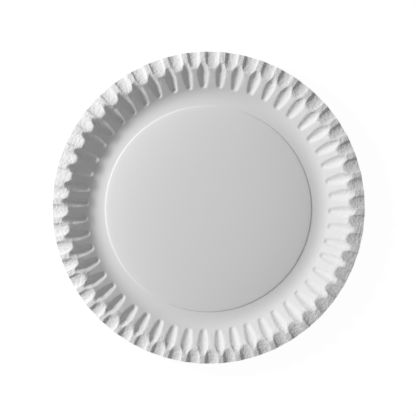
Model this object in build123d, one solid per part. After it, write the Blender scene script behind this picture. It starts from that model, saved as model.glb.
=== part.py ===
from build123d import *

import os
from math import asin, cos, pi, radians, sin, sqrt, tan

# Paper plate: one round blank of white board, pressed between two dies into a shallow dish.
# The origin is the middle of the blank, on the surface that the plate stands on, with +Z up.
# Lengths are millimetres, angles degrees, shares fractions of one flute's pitch.

# Blank
plate_diameter = 230.0
board_thickness = 0.45
forming_offset = 1.0  # the dies met the blank this far off its middle
forming_direction = 255.0

# Centre panel, and the flat ring round it that the plate stands on
panel_rise = 0.75
panel_crown = 2.2
crown_power = 5  # a high power keeps the middle flat and turns only the outside down
step_width = 1.1
ring_width = 3.8

# Wall, shoulder and rim, as widths seen from above
wall_width = 23.1
wall_slope = 40.0
foot_bend = 14.0
shoulder_bend = 2.0
rim_width = 11.0
rim_slope = 9.5
rim_flare = 4.0  # how much flatter the rim is at its edge

# Flutes: a groove in the wall that runs on as a rib in the rim, with flat lands between the
# grooves and round-ended troughs between the ribs
flute_count = 51
first_flute = 105.6
groove_start = 8.2  # from the ring to the groove's lower end
groove_runout = 1.5
groove_depth_low = 1.25
groove_depth_high = 2.35
groove_overshoot = 4.6  # how far the groove's end lifts along the wall past the land's shoulder
overshoot_power = 1.5  # above 1, most of that lift comes near the groove's end
groove_share_low = 0.12
groove_share_high = 0.72
opening_power = 0.35  # below 1, the groove widens fastest just past its lower end
groove_narrowing = 0.18  # taken off the share again towards the groove's upper end
narrowing_power = 6
groove_power = 1.8  # 2 is a round section, lower is nearer to a V
groove_softness = 0.22  # how gently the land turns down into a groove
rib_share = 0.32
rib_height = 2.1  # at the plate's edge
rib_softness = 0.04
trough_share = 0.97  # part of the rib's height that the trough's sides take
trough_fold = 0.35  # part of those sides that is the steep fold beside the rib
fold_power = 10
trough_power = 2.2

plate_radius = plate_diameter / 2
shoulder_radius = plate_radius - rim_width
ring_radius = shoulder_radius - wall_width
step_foot_radius = ring_radius - ring_width
panel_radius = step_foot_radius - step_width
pitch = 2 * pi / flute_count
columns = [column / 24 for column in range(25)]  # across one flute
foot_rings, end_rings, groove_rings, shoulder_rings = 6, 3, 8, 7
rim_strips = 3
crown_points = 12
step_points = 8


def smooth(share):
    share = min(max(share, 0.0), 1.0)
    return share * share * (3 - 2 * share)


def spread(steps):
    return [(step + 1) / steps for step in range(steps)]


class Station:
    """One ring of the board's upper face: where the land runs, and where the groove goes."""

    def __init__(self, radius, height, slope, push, groove_share, rim_share):
        self.radius = radius
        self.height = height
        self.slope = slope
        self.push = push
        self.groove_share = groove_share
        self.rim_share = rim_share

    def groove_wave(self, phase):
        # 1 along the middle of a groove, 0 on the land, with a softened edge between them
        bottom = 1 - (2 * abs(phase) / self.groove_share) ** groove_power
        soft = groove_softness**2
        return (bottom + sqrt(bottom * bottom + soft)) / (1 + sqrt(1 + soft))

    def rib_wave(self, phase):
        # 1 along the crown of a rib, 0 along the middle of a trough
        half_rib = rib_share / 2
        crown = 1 - (1 - trough_share) * min(abs(phase) / half_rib, 1) ** 2
        across = (0.5 - abs(phase)) / (0.5 - half_rib)
        fold = trough_fold * across**fold_power
        side = trough_share * (fold + (1 - trough_fold) * across**trough_power)
        return (crown + side - sqrt((crown - side) ** 2 + rib_softness**2)) / 2

    def point(self, phase, angle, depth):
        groove, rib = self.groove_wave(phase), self.rib_wave(phase)
        wave = groove * (1 - self.rim_share) + rib * self.rim_share
        radius = self.radius + wave * self.push[0] + depth * sin(self.slope)
        height = self.height + wave * self.push[1] - depth * cos(self.slope)
        return Vector(radius * cos(angle), radius * sin(angle), height)


def land(run):
    """Height and slope of the land between the grooves, this far out from the ring."""
    slope = radians(wall_slope)
    turn = asin(min(run / foot_bend, sin(slope)))
    straight = max(run - foot_bend * sin(slope), 0)
    return board_thickness + foot_bend * (1 - cos(turn)) + straight * tan(slope), turn


def wall_top():
    """How far out from the ring the straight wall ends and the shoulder's bend begins."""
    return wall_width - shoulder_bend * sin(radians(wall_slope))


def wall_station(run):
    """The ring this far out from the flat one, with its grooves sunk in and slid up the wall."""
    height, slope = land(run)
    along = max(run - groove_start, 0) / (wall_top() - groove_start)
    depth = groove_depth_low + (groove_depth_high - groove_depth_low) * along
    depth *= smooth((run - groove_start) / groove_runout)
    slide = groove_overshoot * along**overshoot_power
    outward = depth * sin(slope) + slide * cos(slope)
    upward = slide * sin(slope) - depth * cos(slope)
    share = groove_share_low + (groove_share_high - groove_share_low) * along**opening_power
    share -= groove_narrowing * along**narrowing_power
    return Station(ring_radius + run, height, slope, (outward, upward), share, 0.0)


def wall_stations():
    """The rings from the flat ring up the wall and over the shoulder."""
    grooved = groove_start + groove_runout
    runs = [0.0] + [groove_start * share for share in spread(foot_rings)]
    runs += [groove_start + groove_runout * share for share in spread(end_rings)]
    runs += [grooved + (wall_top() - grooved) * share for share in spread(groove_rings)]
    stations = [wall_station(run) for run in runs]
    top = stations[-1]
    turn_over = radians(wall_slope + rim_slope)
    for share in spread(shoulder_rings):
        turn = top.slope - turn_over * share
        radius = shoulder_radius - shoulder_bend * sin(turn)
        height = top.height + shoulder_bend * (cos(turn) - cos(top.slope))
        stations.append(Station(radius, height, turn, top.push, top.groove_share, smooth(share)))
    return stations


def rim_station(start, share, angle):
    """A ring of the rim at this share of the way from the shoulder to the blank's edge."""
    fall, flare = radians(rim_slope), radians(rim_flare)
    across = forming_offset * sin(angle)
    edge = sqrt(plate_radius**2 - across**2) - forming_offset * cos(angle)
    run = edge - start.radius
    drop = run * (tan(fall) * share - (tan(fall) - tan(fall - flare)) * share * share / 2)
    rise = (rib_height - start.push[1]) * share * (2 - share)
    push = (start.push[0] * (1 - share), start.push[1] + rise)
    turn = flare * share - fall
    return Station(start.radius + run * share, start.height - drop, turn, push, 1.0, 1.0)


def spline_ring(points):
    return Edge.make_spline(points, parameters=columns)


def side_of_board(depth):
    """Every face of one side of the board, and the edge of each flute at the blank's edge."""
    stations = wall_stations()
    shoulder_end = stations[-1]
    rings = []
    for station in stations:
        points = [station.point(share - 0.5, pitch * (share - 0.5), depth) for share in columns]
        rings.append(spline_ring(points))
    wall = Shell.make_loft([Wire([ring]) for ring in rings]).faces()[0]
    faces, foot, edges = [], [], []
    for n in range(flute_count):
        middle = first_flute - forming_direction + 360 / flute_count * n
        faces.append(wall.rotate(Axis.Z, middle))
        foot.append(rings[0].rotate(Axis.Z, middle))
        inner = rings[-1].rotate(Axis.Z, middle)
        for share in spread(rim_strips):
            points = []
            for column in columns:
                angle = radians(middle) + pitch * (column - 0.5)
                station = rim_station(shoulder_end, share, angle)
                points.append(station.point(column - 0.5, angle, depth))
            outer = spline_ring(points)
            faces.append(Face.make_surface_from_curves(inner, outer))
            inner = outer
        edges.append(inner)
    ring_inside = Wire.make_circle(step_foot_radius, Plane.XY.offset(board_thickness - depth))
    faces.append(Face(Wire(foot), [ring_inside]))
    return faces + panel_faces(depth), edges


def panel_faces(depth):
    """The crowned panel and the step down to the ring, turned about the forming axis."""
    ring_height = board_thickness - depth
    rim_height = ring_height + panel_rise
    crown = []
    for share in [0.0] + spread(crown_points):
        lift = panel_crown * (1 - share**crown_power)
        crown.append(Vector(panel_radius * share, 0, rim_height + lift))
    step = []
    for share in [0.0] + spread(step_points):
        radius = panel_radius + step_width * share
        step.append(Vector(radius, 0, rim_height - panel_rise * smooth(share)))
    edges = [Edge.make_spline(crown), Edge.make_spline(step)]
    return [Face.revolve(edge, 360, Axis.Z) for edge in edges]


def plate():
    """The whole board as one closed solid, made about the forming axis and moved to its place."""
    upper, upper_edges = side_of_board(0.0)
    under, under_edges = side_of_board(board_thickness)
    rim = []
    for above, below in zip(upper_edges, under_edges):
        rim.append(Face.make_surface_from_curves(above, below))
    board = Solid(Shell(upper + under + rim))
    return board.moved(Location((forming_offset, 0, 0))).rotate(Axis.Z, forming_direction)


os.makedirs("parts", exist_ok=True)
export_step(plate(), "parts/plate.step")
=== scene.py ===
import math

import bpy
import numpy as np
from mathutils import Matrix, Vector


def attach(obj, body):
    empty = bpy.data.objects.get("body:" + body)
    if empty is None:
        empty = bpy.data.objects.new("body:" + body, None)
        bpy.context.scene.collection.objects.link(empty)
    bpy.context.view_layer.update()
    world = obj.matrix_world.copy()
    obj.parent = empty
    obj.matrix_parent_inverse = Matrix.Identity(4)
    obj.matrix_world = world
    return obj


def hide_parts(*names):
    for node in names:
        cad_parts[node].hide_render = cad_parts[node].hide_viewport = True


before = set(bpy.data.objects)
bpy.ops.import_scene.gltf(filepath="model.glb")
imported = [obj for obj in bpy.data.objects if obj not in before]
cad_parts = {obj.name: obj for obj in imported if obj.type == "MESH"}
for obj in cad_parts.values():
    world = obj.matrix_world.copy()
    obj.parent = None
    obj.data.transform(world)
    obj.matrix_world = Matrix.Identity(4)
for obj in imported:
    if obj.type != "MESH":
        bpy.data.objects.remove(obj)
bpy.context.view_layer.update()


# ---------------------------------------------------------------------------------------------
# The pressed board. One disc of white board, pressed between two heated dies into a dish: a
# crowned middle inside a small step, a flat ring it stands on, a sloping wall and a rim. The
# spare board round the outside is gathered into grooves up the wall that run on as ribs.

# Lengths are millimetres, and a groove's or rib's share is its part of one flute's pitch
plate_radius = 115.0
board_thickness = 0.45
forming_offset = 1.0  # the dies met the disc this far off its middle
forming_direction = math.radians(255)

rim_width = 11.0
wall_width = 23.1
ring_width = 3.8
step_width = 1.1
shoulder_radius = plate_radius - rim_width
ring_radius = shoulder_radius - wall_width
step_foot_radius = ring_radius - ring_width
panel_radius = step_foot_radius - step_width
panel_rise = 0.75
panel_crown = 2.2
crown_power = 5  # keeps the middle flat and turns only its outside down
panel_height = board_thickness + panel_rise

wall_slope = math.radians(40.0)
foot_bend = 14.0
shoulder_bend = 2.0
wall_top_radius = shoulder_radius - shoulder_bend * math.sin(wall_slope)
rim_slope = math.radians(9.5)
rim_flare = math.radians(4)  # how much flatter the rim is at its edge

flute_count = 51
pitch = 2 * math.pi / flute_count
first_flute = math.radians(105.6)
crowding = math.radians(1.03)  # the most that a flute sits out of its even place
crowding_side = math.radians(245)

groove_start = 8.2  # from the flat ring to a groove's lower end
groove_runout = 1.5
groove_depth_low, groove_depth_high = 1.25, 2.35
groove_overshoot = 4.6  # how far a groove's end lifts along the wall past the land's shoulder
overshoot_power = 1.5
groove_share_low, groove_share_high = 0.12, 0.72
opening_power = 0.35  # below 1, a groove widens fastest just past its lower end
groove_narrowing = 0.18  # taken off the share again towards the groove's upper end
narrowing_power = 6
groove_power = 1.8  # 2 is a round section, lower is nearer to a V
groove_softness = 0.22  # how gently the land turns down into a groove

rib_share = 0.32
rib_height = 2.1
rib_softness = 0.04
trough_share = 0.97  # part of a rib's height that the trough's sides take
trough_fold = 0.35  # part of those sides that is the steep fold beside the rib
fold_power = 10
trough_power = 2.2

columns_per_flute = 20
columns = flute_count * columns_per_flute
flute = np.arange(columns) // columns_per_flute
across = (np.arange(columns) % columns_per_flute) / columns_per_flute - 0.5
crease_column = 0.25  # half of a flute's columns lie between its two creases
gathering = 0.45  # how strongly the columns gather at the creases

chance = np.random.default_rng(seed=51)


def uneven(amount):
    """One small random difference for each flute, given to each of its columns."""
    return chance.uniform(-amount, amount, flute_count)[flute]


depth_differs = 1 + uneven(0.10)
width_differs = 1 + uneven(0.08)
lean_differs = uneven(0.045)
start_differs = uneven(0.5)
rib_differs = 1 + uneven(0.12)


def smooth(share):
    share = np.clip(share, 0, 1)
    return share * share * (3 - 2 * share)


def spread(steps):
    """This many even steps from 0, which is left out, to 1."""
    return np.linspace(0, 1, steps + 1)[1:]


def gather(share):
    """Shares from -1 to 1 moved towards both ends."""
    return (1 - gathering) * share + gathering * np.sin(share * math.pi / 2)


def crease_columns(crease):
    """Phases of a flute's columns, gathered towards the creases at plus and minus this phase."""
    inside = np.abs(across) <= crease_column
    near = gather(np.clip(across / crease_column, -1, 1))
    far = gather(np.clip((0.5 - np.abs(across)) / (0.5 - crease_column), 0, 1))
    return np.where(inside, crease * near, np.sign(across) * (0.5 - (0.5 - crease) * far))


def round_the_plate(phase):
    """The angles of columns at these phases, with the flutes crowded a little to one side."""
    even = first_flute + (flute + phase) * pitch
    return even + crowding * np.sin(crowding_side - even)


def groove_wave(phase, share):
    """1 along the middle of a groove, 0 on the land, with a softened edge between them."""
    bottom = 1 - (2 * np.abs(phase) / share) ** groove_power
    soft = groove_softness**2
    return (bottom + np.sqrt(bottom**2 + soft)) / (1 + math.sqrt(1 + soft))


def rib_wave(phase):
    """1 along the crown of a rib, 0 along the middle of a trough."""
    half_rib = rib_share / 2
    crown = 1 - (1 - trough_share) * np.minimum(np.abs(phase) / half_rib, 1) ** 2
    up = np.abs(0.5 - np.abs(phase)) / (0.5 - half_rib)
    side = trough_share * (trough_fold * up**fold_power + (1 - trough_fold) * up**trough_power)
    return (crown + side - np.sqrt((crown - side) ** 2 + rib_softness**2)) / 2


class Ring:
    """One ring of points round the upper face of the board, about the forming axis."""

    def __init__(self, radius, height, slope, push, groove_share, rim_share):
        groove = groove_share * width_differs
        crease = groove / 2 * (1 - rim_share) + rib_share / 2 * rim_share
        phase = crease_columns(crease)
        lean = phase + lean_differs * (1 - (2 * phase) ** 2)
        wave = groove_wave(lean, groove) * (1 - rim_share) + rib_wave(lean) * rim_share
        outward, upward = push
        self.angle = round_the_plate(phase)
        self.radius = radius + wave * outward
        self.height = height + wave * upward
        self.slope = slope

    def points(self, depth):
        """This ring on the face that lies this deep in the board, moved to where it was pressed."""
        radius = self.radius + depth * np.sin(self.slope)
        x = radius * np.cos(self.angle) + forming_offset * math.cos(forming_direction)
        y = radius * np.sin(self.angle) + forming_offset * math.sin(forming_direction)
        return np.stack([x, y, self.height - depth * np.cos(self.slope)], 1)


def groove_push(depth, slide, slope):
    """How far out and up a groove's middle goes, sunk this deep and slid this far up the wall."""
    outward = depth * math.sin(slope) + slide * math.cos(slope)
    upward = slide * math.sin(slope) - depth * math.cos(slope)
    return outward, upward


def wall_ring(run):
    """The ring of the wall this far out from the flat one, with its grooves sunk in."""
    turn = math.asin(min(run / foot_bend, math.sin(wall_slope)))
    height = board_thickness + foot_bend * (1 - math.cos(turn))
    height += max(run - foot_bend * math.sin(wall_slope), 0) * math.tan(wall_slope)
    radius = ring_radius + run
    foot = ring_radius + groove_start + start_differs
    along = np.clip((radius - foot) / (wall_top_radius - foot), 0, 1)
    depth = groove_depth_low + (groove_depth_high - groove_depth_low) * along
    depth = depth * smooth((radius - foot) / groove_runout) * depth_differs
    push = groove_push(depth, groove_overshoot * along**overshoot_power, turn)
    share = groove_share_low + (groove_share_high - groove_share_low) * along**opening_power
    share = share - groove_narrowing * along**narrowing_power
    return Ring(radius, height, turn, push, share, 0.0), height


# The rings of the wall, as runs out from the flat ring: the plain foot, the lower ends of the
# grooves, where the rings lie closest, and the grooves' length up to the shoulder
foot_rings, end_rings, groove_rings = 5, 7, 10
first_run, foot_margin, end_margin, groove_margin = 1.2, 1.4, 0.9, 0.7
groove_full = groove_start + groove_runout
foot_runs = np.linspace(first_run, groove_start - foot_margin, foot_rings)
end_runs = np.linspace(groove_start - end_margin, groove_full, end_rings)
groove_runs = np.linspace(
    groove_full + groove_margin, wall_top_radius - ring_radius, groove_rings)
rings = []
for run in (*foot_runs, *end_runs, *groove_runs):
    ring, wall_height = wall_ring(run)
    rings.append(ring)

# The shoulder, over which the grooves turn into ribs
bend_rings = 8
shoulder_push = groove_push(groove_depth_high * depth_differs, groove_overshoot, wall_slope)
shoulder_share = groove_share_high - groove_narrowing
for share in spread(bend_rings):
    turn = wall_slope - (wall_slope + rim_slope) * share
    radius = shoulder_radius - shoulder_bend * math.sin(turn)
    height = wall_height + shoulder_bend * (math.cos(turn) - math.cos(wall_slope))
    rings.append(Ring(radius, height, turn, shoulder_push, shoulder_share, float(smooth(share))))

# The rim, out to the disc's cut edge, which is a true circle about the plate's own middle
rim_rings = 8
rim_start, rim_start_height = radius, height
outward, upward = shoulder_push
from_offset = round_the_plate(crease_columns(rib_share / 2)) - forming_direction
edge = np.sqrt(plate_radius**2 - (forming_offset * np.sin(from_offset)) ** 2)
rim_run = edge - forming_offset * np.cos(from_offset) - rim_start
fall = math.tan(rim_slope)
flatter = fall - math.tan(rim_slope - rim_flare)
for share in spread(rim_rings):
    drop = rim_run * (fall * share - flatter * share * share / 2)
    rise = upward + (rib_height * rib_differs - upward) * share * (2 - share)
    push = (outward * (1 - share), rise)
    turn = rim_flare * share - rim_slope
    rings.append(Ring(rim_start + rim_run * share, rim_start_height - drop, turn, push, 1.0, 1.0))

thinning = 4  # a plain ring has one point for this many columns of a fluted one
plain_columns = columns // thinning


class PlainRing(Ring):
    """A ring with no flutes, with fewer points."""

    def __init__(self, radius, height):
        pitches = np.arange(plain_columns) * thinning / columns_per_flute - 0.5
        self.angle = first_flute + pitches * pitch
        self.radius = radius
        self.height = np.full(plain_columns, height)
        self.slope = 0.0


# The middle, with its rings closest where it turns down, then the step and the flat ring
crown_shares = (0.03, 0.1, 0.2, 0.3, 0.4, 0.5, 0.6, 0.7, 0.78, 0.85, 0.91, 0.96, 1.0)
step_rings = 6
plain_rings = []
for share in crown_shares:
    lift = panel_crown * (1 - share**crown_power)
    plain_rings.append(PlainRing(panel_radius * share, panel_height + lift))
for share in spread(step_rings):
    height = panel_height - panel_rise * float(smooth(share))
    plain_rings.append(PlainRing(panel_radius + step_width * share, height))
plain_rings.append(PlainRing(ring_radius, board_thickness))


def face_points(depth):
    """Every point of one face of the board: its middle, the plain rings and the fluted ones."""
    shift = forming_offset * np.array([math.cos(forming_direction), math.sin(forming_direction)])
    middle = np.array([[*shift, panel_height + panel_crown - depth]])
    return np.concatenate([middle] + [ring.points(depth) for ring in plain_rings + rings])


def band(inner, outer, count):
    """The four-sided polygons between two rings of this many points."""
    for a in range(count):
        b = (a + 1) % count
        yield inner + a, outer + a, outer + b, inner + b


def face_polygons(start):
    """Polygons of one face, from its middle point out to the cut edge, facing up."""
    ring = start + 1
    polygons = [(start, ring + a, ring + (a + 1) % plain_columns) for a in range(plain_columns)]
    for _ in plain_rings[1:]:
        polygons += band(ring, ring + plain_columns, plain_columns)
        ring += plain_columns
    outer = ring + plain_columns
    for a in range(plain_columns):
        between = [outer + (thinning * a + n) % columns for n in range(thinning + 1)]
        polygons.append((ring + a, *between, ring + (a + 1) % plain_columns))
    ring = outer
    for _ in rings[1:]:
        polygons += band(ring, ring + columns, columns)
        ring += columns
    return polygons, ring


upper = face_points(0.0)
under = face_points(board_thickness)
upper_polygons, upper_edge = face_polygons(0)
under_polygons, under_edge = face_polygons(len(upper))
polygons = upper_polygons + [polygon[::-1] for polygon in under_polygons]
polygons += band(upper_edge, under_edge, columns)

millimetres = 1000  # in a metre
sharp_turn = math.radians(75)  # what turns more, as the cut edge does, is shaded sharp
board_mesh = bpy.data.meshes.new("pressed_board")
points = np.concatenate([upper, under]) / millimetres
board_mesh.from_pydata(points.tolist(), [], polygons)
board_mesh.update()
board_mesh.shade_smooth()
board_mesh.set_sharp_from_angle(angle=sharp_turn)
board = bpy.data.objects.new("pressed_board", board_mesh)
bpy.context.scene.collection.objects.link(board)


class Field:
    """What a shader node gives over a surface. One without a socket only starts a tree."""

    def __init__(self, tree, socket=None):
        self.tree = tree
        self.socket = socket

    def node(self, kind, settings=(), sockets=(), output=0):
        """A new node, with its settings made first and then its sockets' values or links."""
        made = self.tree.nodes.new(kind)
        for name, value in dict(settings).items():
            setattr(made, name, value)
        for key, value in dict(sockets).items():
            if isinstance(value, Field):
                self.tree.links.new(value.socket, made.inputs[key])
            else:
                made.inputs[key].default_value = value
        return Field(self.tree, made.outputs[output])

    def math(self, operation, first, second):
        return self.node("ShaderNodeMath", {"operation": operation}, {0: first, 1: second})

    def __add__(self, other):
        return self.math("ADD", self, other)

    def __radd__(self, other):
        return self.math("ADD", other, self)

    def __mul__(self, other):
        return self.math("MULTIPLY", self, other)

    def __rmul__(self, other):
        return self.math("MULTIPLY", other, self)

    def __sub__(self, other):
        return self.math("SUBTRACT", self, other)

    def __rsub__(self, other):
        return self.math("SUBTRACT", other, self)


# White board: fine fibres and faint clouds all over, and a crinkle that runs outward where the
# board was worked. The crinkle shows in the relief, and its streaks are also painted lighter and
# darker into the colour as painted shade of the crinkle. The upper wall and the rim are a touch
# whiter.
fibre_scale, cloud_scale = 900.0, 60.0
grey_board = (0.7, 0.7, 0.7, 1)
white_board = (0.9, 0.9, 0.9, 1)
plain_tone = 0.5  # of the way from the grey to the white
noise_middle = 0.5
fibre_tone, cloud_tone = 0.016, 0.012
# the first paints the crinkle's shade into the colour along its streaks, the second whitens the
# upper wall and rim evenly
painted_crinkle_shade, outer_whitening = 0.3, 0.12
worked_relief, gathered_relief = 14.0, 30.0  # the crinkle's depth, with the fibres' as 1
streaks_around, streaks_outward = 45, 500.0  # how closely it repeats each way
worked_from, worked_to = 0.084, 0.108  # metres from the middle
gathered_from, gathered_to = 0.1, 0.106

paper = bpy.data.materials.new("white_board")
paper.use_nodes = True
tree = paper.node_tree
shader = tree.nodes["Principled BSDF"]
shader.inputs["Roughness"].default_value = 0.85
shader.inputs["Specular IOR Level"].default_value = 0.25

place = Field(tree).node("ShaderNodeTexCoord", output="Object")
flat = place.node("ShaderNodeVectorMath", {"operation": "MULTIPLY"}, {0: place, 1: (1, 1, 0)})
from_middle = flat.node("ShaderNodeVectorMath", {"operation": "LENGTH"}, {0: flat}, "Value")
around = flat.node("ShaderNodeVectorMath", {"operation": "NORMALIZE"}, {0: flat})
along = place.node("ShaderNodeCombineXYZ", sockets={"Z": from_middle * streaks_outward})
streak_place = place.node("ShaderNodeVectorMath", {"operation": "MULTIPLY_ADD"},
                          {0: around, 1: (streaks_around, streaks_around, 0), 2: along})
fibres = place.node("ShaderNodeTexNoise", sockets={
    "Vector": place, "Scale": fibre_scale, "Detail": 4.0, "Roughness": 0.6})
clouds = place.node("ShaderNodeTexNoise", sockets={
    "Vector": place, "Scale": cloud_scale, "Detail": 3.0, "Roughness": 0.55})
streaks = place.node("ShaderNodeTexNoise", sockets={
    "Vector": streak_place, "Scale": 1.0, "Detail": 2.0, "Roughness": 0.7})
worked = place.node("ShaderNodeMapRange", {"interpolation_type": "SMOOTHSTEP"}, {
    "Value": from_middle, "From Min": worked_from, "From Max": worked_to})
gathered = place.node("ShaderNodeMapRange", {"interpolation_type": "SMOOTHSTEP"}, {
    "Value": from_middle, "From Min": gathered_from, "From Max": gathered_to})

tone = (fibres - noise_middle) * fibre_tone + (clouds - noise_middle) * cloud_tone + plain_tone
# painted shade of the crinkle along its streaks, and an even whitening of the upper wall and rim
tone = tone + worked * (streaks * painted_crinkle_shade + outer_whitening)
colour = place.node("ShaderNodeMix", {"data_type": "RGBA"},
                    {0: tone, 6: grey_board, 7: white_board}, output=2)
tree.links.new(colour.socket, shader.inputs["Base Color"])
unevenness = fibres + clouds + streaks * (worked * worked_relief + gathered * gathered_relief)
relief = place.node("ShaderNodeBump", sockets={
    "Strength": 0.25, "Distance": 0.0002, "Height": unevenness})
tree.links.new(relief.socket, shader.inputs["Normal"])
board_mesh.materials.append(paper)
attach(board, "root")
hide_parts("plate")


# ---------------------------------------------------------------------------------------------
# The stage. A plain white floor that keeps a soft shadow, one soft lamp low on the left, pale
# surroundings, and a camera that looks straight down.

half_floor = 4.0
floor_gap = 0.0002  # between the floor and the plate's foot
floor_grey = (0.8, 0.8, 0.8, 1)
floor_glow = 0.97
shadow_grey = (0.06, 0.06, 0.06, 1)  # what the camera sees of the lamp's light on the floor
white = (1, 1, 1, 1)

floor_mesh = bpy.data.meshes.new("floor")
floor_mesh.from_pydata([(-half_floor, -half_floor, 0), (half_floor, -half_floor, 0),
                        (half_floor, half_floor, 0), (-half_floor, half_floor, 0)],
                       [], [(0, 1, 2, 3)])
floor = bpy.data.objects.new("floor", floor_mesh)
floor.location.z = -floor_gap
bpy.context.scene.collection.objects.link(floor)


def ray(tree, kind):
    """1 for light of this kind, such as what the camera sees directly, and 0 for the rest."""
    return Field(tree).node("ShaderNodeLightPath", output=f"Is {kind} Ray")


floor_paint = bpy.data.materials.new("floor_paint")
floor_paint.use_nodes = True
tree = floor_paint.node_tree
tree.nodes.remove(tree.nodes["Principled BSDF"])
seen = ray(tree, "Camera") + ray(tree, "Glossy") + ray(tree, "Transmission")
matte = seen.node("ShaderNodeBsdfDiffuse", sockets={"Color": floor_grey})
shaded = seen.node("ShaderNodeBsdfDiffuse", sockets={"Color": shadow_grey})
glow = seen.node("ShaderNodeEmission", sockets={"Color": white, "Strength": floor_glow})
bright = seen.node("ShaderNodeAddShader", sockets={0: glow, 1: shaded})
surface = seen.node("ShaderNodeMixShader", sockets={0: seen, 1: matte, 2: bright})
tree.links.new(surface.socket, tree.nodes["Material Output"].inputs["Surface"])
floor_mesh.materials.append(floor_paint)

ambient_light = 0.225
surroundings = bpy.data.worlds.new("surroundings")
bpy.context.scene.world = surroundings
surroundings.use_nodes = True
tree = surroundings.node_tree
background = tree.nodes["Background"]
background.inputs["Color"].default_value = white
strength = ray(tree, "Camera") * (1 - ambient_light) + ambient_light
tree.links.new(strength.socket, background.inputs["Strength"])

lamp_azimuth, lamp_height = math.radians(159), math.radians(34.5)
lamp_distance, lamp_width, lamp_watts = 1.0, 0.16, 8.6
lamp = bpy.data.lights.new("soft_lamp", "AREA")
lamp.shape = "DISK"
lamp.size = lamp_width
lamp.energy = lamp_watts
lamp_object = bpy.data.objects.new("soft_lamp", lamp)
bpy.context.scene.collection.objects.link(lamp_object)
towards_lamp = Vector((math.cos(lamp_azimuth) * math.cos(lamp_height),
                       math.sin(lamp_azimuth) * math.cos(lamp_height), math.sin(lamp_height)))
lamp_object.location = towards_lamp * lamp_distance
lamp_object.rotation_euler = towards_lamp.to_track_quat("Z", "Y").to_euler()

camera_height = 1.6
outline_share = 0.75  # the plate's outline fills this much of the frame's width
outline_height = 0.0145  # of the rim's edge above the floor
half_width = plate_radius / millimetres / outline_share
camera = bpy.data.cameras.new("camera")
camera.lens = camera.sensor_width / 2 * (camera_height - outline_height) / half_width
camera.shift_x = -0.0018
camera.shift_y = -0.0009
camera_object = bpy.data.objects.new("camera", camera)
camera_object.location = (0, 0, camera_height)
bpy.context.scene.collection.objects.link(camera_object)
bpy.context.scene.camera = camera_object
bpy.context.scene.view_settings.view_transform = "Standard"
